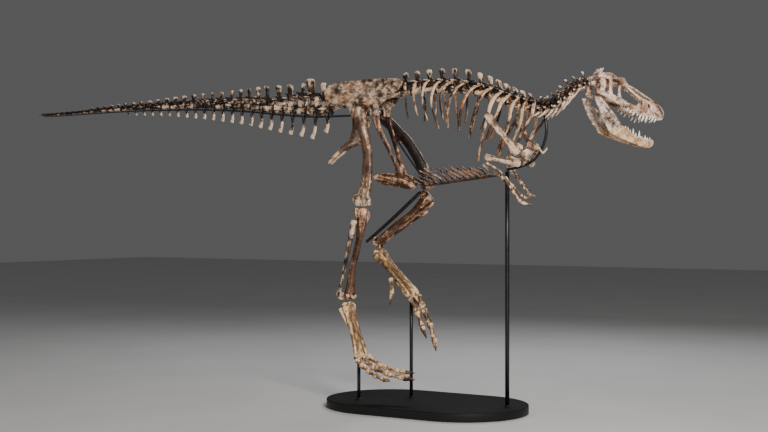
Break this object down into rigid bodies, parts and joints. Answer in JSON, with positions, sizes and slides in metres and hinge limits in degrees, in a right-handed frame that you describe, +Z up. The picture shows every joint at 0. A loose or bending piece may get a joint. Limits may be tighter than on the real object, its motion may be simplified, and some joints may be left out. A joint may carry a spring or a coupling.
{
  "type": "mounted dinosaur skeleton",
  "caption": "Life-size mounted skeleton of a striding young tyrannosaur, jaws open and head turned left, on a black steel armature and an oval base.",
  "frame": {"origin": "middle of the base's underside", "axes": "+X towards the head along the base, +Y the animal's left, +Z up"},
  "size_m": [6.495, 1.2272, 2.9033],
  "materials": {
    "dark_bone": "dark brown mineralised bone with paler worn tips, satin",
    "warm_bone": "reddish and tan mineralised bone, fibrous, satin",
    "pale_bone": "pale yellowish mineralised bone, satin",
    "black_steel": "satin black",
    "base_paint": "matte black"
  },
  "bodies": {
    "root": {"femur_left": "warm_bone", "femur_right": "warm_bone", "fibula_left": "warm_bone", "fibula_right": "warm_bone", "forearm_left": "warm_bone", "forearm_right": "warm_bone", "furcula": "warm_bone", "gastralia_left": "dark_bone", "gastralia_right": "dark_bone", "hand_left": "pale_bone", "hand_right": "pale_bone", "humerus_left": "warm_bone", "humerus_right": "warm_bone", "ilium_left": "warm_bone", "ilium_right": "warm_bone", "ischium_left": "warm_bone", "ischium_right": "warm_bone", "lower_jaw": "warm_bone", "metatarsus_left": "pale_bone", "metatarsus_right": "pale_bone", "neck_front": "dark_bone", "neck_rear": "dark_bone", "pubis_left": "warm_bone", "pubis_right": "warm_bone", "ribcage_left": "dark_bone", "ribcage_right": "dark_bone", "sacrum": "dark_bone", "shoulder_left": "warm_bone", "shoulder_right": "warm_bone", "skull": "warm_bone", "stand_base": "base_paint", "stand_neck_bar": "black_steel", "stand_rod_front": "black_steel", "stand_rod_middle": "black_steel", "stand_rod_rear": "black_steel", "stand_shin_bar": "black_steel", "stand_tail_bar": "black_steel", "stand_thigh_bar": "black_steel", "tail_1": "dark_bone", "tail_2": "dark_bone", "tail_3": "dark_bone", "tail_4": "dark_bone", "tail_tip": "dark_bone", "tibia_left": "warm_bone", "tibia_right": "warm_bone", "toe_1_left": "pale_bone", "toe_1_right": "pale_bone", "toe_2_left": "pale_bone", "toe_2_right": "pale_bone", "toe_3_left": "pale_bone", "toe_3_right": "pale_bone", "toe_4_left": "pale_bone", "toe_4_right": "pale_bone"}
  },
  "joints": []
}
